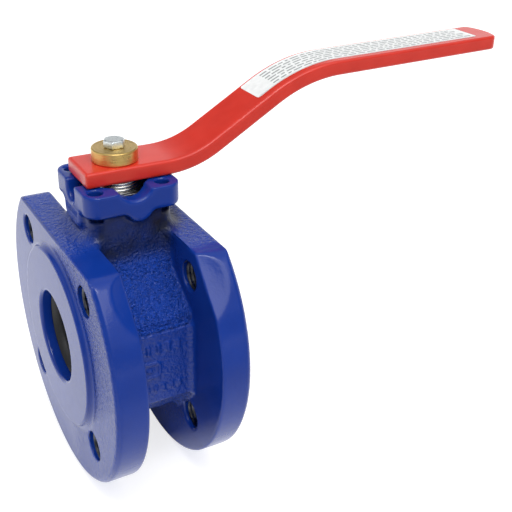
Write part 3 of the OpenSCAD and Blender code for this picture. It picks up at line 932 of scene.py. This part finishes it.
def make_label_print():
    """Rows of plain bars on the film, in place of printed words."""
    draw = np.random.default_rng(7)
    points, faces = [], []
    rise = LEVER_T / 2 + PRINT_RISE
    for row in range(PRINT_ROWS):
        y = LABEL_Y + PRINT_TOP - row * PRINT_PITCH
        s = LABEL_START + PRINT_MARGINS[0]
        while s < LABEL_START + LABEL_LENGTH - PRINT_MARGINS[1]:
            length = draw.uniform(1.6, 6.0)
            first = len(points)
            steps = max(1, int(length / 1.5))
            for n in range(steps + 1):
                for side in (-PRINT_HALF, PRINT_HALF):
                    points.append((s + length * n / steps, y + side, rise))
            for n in range(steps):
                here = first + 2 * n
                faces.append((here, here + 2, here + 3, here + 1))
            s += length + draw.uniform(0.8, 1.6)
    bars = mesh_object("label_print", bent(np.array(points)), np.array(faces))
    finish_piece(bars, "operator", "label", INK, "lever_label")


# ---- Small turned and hexagonal pieces ----

def span(node):
    """Radius, lowest and highest station of a round node about the stem axis."""
    low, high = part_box(node)
    return high.y / MM, low.z / MM, high.z / MM


def make_clamp_cap():
    """Brass cap: chamfered rim and shallow turning grooves."""
    radius, low, high = span("clamp_cap")
    profile = [(3.3, low), (3.3, high - 0.3), (3.6, high)]
    for groove in np.arange(6.2, radius - 1.2, 0.9):
        profile += [(groove, high), (groove + 0.18, high - 0.05), (groove + 0.36, high)]
    for t in np.linspace(0, math.pi / 2, 6):
        profile.append((radius - 0.7 + 0.7 * math.sin(t), high - 0.7 + 0.7 * math.cos(t)))
    for groove in np.arange(high - 1.4, low + 0.8, -0.8):
        profile += [(radius, groove), (radius - 0.04, groove - 0.16), (radius, groove - 0.32)]
    profile += [(radius, low + 0.3), (radius - 0.3, low)]
    cap = lathe("cap_turned", profile[::-1], 160)
    finish_piece(cap, "operator", "brass", MATERIALS["brass"], "clamp_cap")


def make_springs():
    """Three dished springs and the shim below them."""
    for name in ("disc_spring_lower", "disc_spring_middle", "disc_spring_upper"):
        radius, low, high = span(name)
        corners = [(SPRING_BORE_R, low + SPRING_RISE), (radius, low),
                   (radius, high - SPRING_RISE), (SPRING_BORE_R, high)]
        ring = lathe(name + "_turned", rounded_outline(corners, 0.7, 4), 128)
        finish_piece(ring, "operator", "spring_steel", MATERIALS["spring_steel"], name)
    radius, low, high = span("spring_shim")
    corners = [(SPRING_BORE_R, low), (radius, low), (radius, high), (SPRING_BORE_R, high)]
    shim = lathe("shim_turned", rounded_outline(corners, 0.18, 4), 128)
    finish_piece(shim, "operator", "spring_steel", MATERIALS["turned_steel"], "spring_shim")


def hexagon(u, v, half_width):
    """A flat hexagon with corners on the u axis."""
    third = math.sqrt(0.75)
    return np.maximum(np.abs(v), np.abs(u) * third + np.abs(v) * 0.5) - half_width


def make_gland_nut():
    """Hexagonal gland nut with turned corners and the end of its bore."""
    _, low, high = span("gland_nut")

    def field(x, y, z):
        around = np.hypot(x, y)
        head = common(hexagon(x, y, NUT_HALF), z - high, 0.3)
        head = common(head, (around - NUT_HALF - 0.3) * 0.5 + (z - high) * 0.87, 0.3)
        head = np.maximum(head, RECESS_Z + 0.05 - z)
        sleeve = np.maximum(around - BOX_R + 0.05, np.maximum(low - z, z - RECESS_Z - 1))
        mouth = (around - SPRING_BORE_R - 0.8 + high - z) / math.sqrt(2)
        bore = np.minimum(around - SPRING_BORE_R, mouth)
        return without(np.minimum(head, sleeve), bore, 0.2)

    points, quads = net(field, (-15.1, -13.1, low), (15.1, 13.1, high), step=0.4)
    nut = mesh_object("nut_milled", points, quads)
    finish_piece(nut, "valve_body", "dark_steel", MATERIALS["dark_steel"], "gland_nut")


def make_bolt():
    """Hexagon bolt with a domed, chamfered head and its shank."""
    low, high = (corner.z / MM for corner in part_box("lever_bolt"))
    cap_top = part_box("clamp_cap")[1].z / MM

    def field(x, y, z):
        around = np.hypot(x, y)
        head = common(hexagon(x, y, BOLT_HALF), z - high, 0.3)
        head = common(head, (around - BOLT_HALF - 0.1) * 0.5 + (z - high) * 0.87, 0.4)
        head = np.maximum(head, cap_top + 0.35 - z)
        washer = np.maximum(around - BOLT_HALF + 0.15, np.abs(z - cap_top - 0.25) - 0.25)
        shank = np.maximum(around - BOLT_SHANK_R, np.maximum(low - z, z - cap_top - 1))
        return np.minimum(np.minimum(head, washer), shank)

    points, quads = net(field, (-5.8, -5.8, low), (5.8, 5.8, high), step=0.22)
    bolt = mesh_object("bolt_forged", points, quads)
    finish_piece(bolt, "operator", "zinc_plate", MATERIALS["zinc_plate"], "lever_bolt")


def make_stop_pin():
    low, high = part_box("stop_pin")
    centre = tuple((a + b) / 2 / MM for a, b in zip(low[:2], high[:2]))
    r = (high.x - low.x) / 2 / MM
    z0, z1 = low.z / MM, high.z / MM
    profile = [(0.0, z0), (r - 0.3, z0), (r, z0 + 0.3), (r, z1 - 1.2)]
    for t in np.linspace(0, math.pi / 2, 7):
        profile.append((r - 1.0 + 1.0 * math.cos(t), z1 - 1.0 + 1.0 * math.sin(t)))
    profile += [(1.0, z1), (0.0, z1 - 0.15)]
    pin = lathe("stop_pin_turned", profile, 64, centre)
    finish_piece(pin, "valve_body", "turned_steel", MATERIALS["turned_steel"], "stop_pin")


def paint_cad_nodes():
    """Materials for the CAD nodes that stay as they are."""
    slots = {part["node"]: part["material_slot"] for part in frame["record"]["subparts"]}
    for name, node in frame["nodes"].items():
        node.data.materials.clear()
        node.data.materials.append(MATERIALS[slots[name]])


# ---- Studio ----

BACKDROP_FULL = 21.0      # degrees above the horizon
BACKDROP_END = 29.0
BACKDROP_LIGHT = 1.0
FRONT_LIGHT = 0.35
ROOM_LIGHT = 0.04
CEILING_START = 30.0
CEILING_FULL = 60.0
CEILING_LIGHT = 0.85
FLOOR_GLOW = 0.72
SOFTBOX_RINGS = ((45, 0.95), (65, 0.35), (85, 0.55))   # spread in degrees, strength


def soft_sun(name, towards, spread, strength):
    """Even light from one side of the studio, as from a large diffuser."""
    data = bpy.data.lights.new(name, "SUN")
    data.angle = math.radians(spread)
    data.energy = strength
    light = bpy.data.objects.new(name, data)
    light.rotation_euler = Vector(towards).to_track_quat("Z", "Y").to_euler()
    bpy.context.scene.collection.objects.link(light)


def make_world():
    """White to the camera. To the object, a white backdrop behind and a dim room around it."""
    world = bpy.data.worlds.new("studio")
    world.use_nodes = True
    tree = world.node_tree
    sky = tree.nodes["Background"]
    direction = tree.nodes.new("ShaderNodeTexCoord").outputs["Generated"]
    parts = tree.nodes.new("ShaderNodeSeparateXYZ")
    tree.links.new(direction, parts.inputs[0])

    def fade(output, start, end, low, high):
        made = tree.nodes.new("ShaderNodeMapRange")
        made.interpolation_type = "SMOOTHSTEP"
        tree.links.new(output, made.inputs["Value"])
        for socket, value in zip(("From Min", "From Max", "To Min", "To Max"),
                                 (start, end, low, high)):
            made.inputs[socket].default_value = value
        return made.outputs[0]

    def rise(angle):
        return math.sin(math.radians(angle))

    height = fade(parts.outputs[2], rise(BACKDROP_FULL), rise(BACKDROP_END), 1.0, 0.0)
    overhead = fade(parts.outputs[2], rise(CEILING_START), rise(CEILING_FULL),
                    ROOM_LIGHT, CEILING_LIGHT)
    depth = fade(parts.outputs[1], -0.35, 0.1, FRONT_LIGHT, BACKDROP_LIGHT)
    lit = tree.nodes.new("ShaderNodeMath")
    lit.operation = "MULTIPLY_ADD"
    tree.links.new(height, lit.inputs[0])
    tree.links.new(depth, lit.inputs[1])
    tree.links.new(overhead, lit.inputs[2])
    tree.links.new(lit.outputs[0], sky.inputs["Strength"])
    sky.inputs["Color"].default_value = (0.97, 0.98, 1.0, 1)
    white = tree.nodes.new("ShaderNodeBackground")
    white.inputs["Color"].default_value = (1, 1, 1, 1)
    mix = tree.nodes.new("ShaderNodeMixShader")
    path = tree.nodes.new("ShaderNodeLightPath")
    tree.links.new(path.outputs["Is Camera Ray"], mix.inputs[0])
    tree.links.new(sky.outputs[0], mix.inputs[1])
    tree.links.new(white.outputs[0], mix.inputs[2])
    tree.links.new(mix.outputs[0], tree.nodes["World Output"].inputs["Surface"])
    bpy.context.scene.world = world


def make_floor():
    """A plain pale floor that glows as on a light table, except under the valve, where the unlit
    patch is a painted shadow, and in a band in front of it; to the camera it glows all over.
    """
    half = 2500.0
    z = -FLANGE_R - 0.02
    corners = np.array([(-half, -half, z), (half, -half, z), (half, half, z), (-half, half, z)])
    floor = mesh_object("floor", corners, np.array([[0, 1, 2, 3]]))
    m = Nodes("floor", (0.48, 0.48, 0.48), 0.7, Emission_Color=(1, 1, 1, 1))
    m.feed("Roughness", m.ramp(m.noise(40, 2), 0.3, 0.7, 0.6, 0.8))
    across, depth, _ = m.node("SeparateXYZ", {"Vector": m.coordinates}).outputs
    # Painted shadow: no glow on the patch under the valve, so the valve's lower faces reflect a
    # dark floor there.
    beside = m.ramp(m.maths("ABSOLUTE", across, 0.0), 0.026, 0.045)
    past = m.maths("MAXIMUM", m.ramp(depth, -0.03, -0.01, 1.0, 0.0), m.ramp(depth, 0.06, 0.09))
    clear = m.maths("MAXIMUM", beside, past)
    behind = m.maths("MULTIPLY", clear, m.ramp(depth, -0.30, -0.08, 0.0, FLOOR_GLOW))
    beyond = m.ramp(depth, -1.5, -0.7, FLOOR_GLOW, 0.0)
    glow = m.maths("MAXIMUM", behind, beyond)
    seen = m.maths("MULTIPLY", m.node("LightPath").outputs["Is Camera Ray"], FLOOR_GLOW)
    m.feed("Emission Strength", m.maths("MAXIMUM", glow, seen))
    floor.data.materials.append(m.material)


def make_studio():
    make_world()
    make_floor()
    for spread, strength in SOFTBOX_RINGS:
        soft_sun(f"softbox_{spread}", (0.0, -0.6, 0.8), spread, strength)
    soft_sun("lamp", (-0.15, -0.35, 0.92), 14, 0.5)


make_camera()
paint_cad_nodes()
make_body()
make_threads()
make_ball_and_retainer()
make_seats()
make_lever()
make_label()
make_label_print()
make_clamp_cap()
make_springs()
make_gland_nut()
make_bolt()
make_stop_pin()
make_studio()
bpy.context.scene.view_settings.view_transform = "Standard"
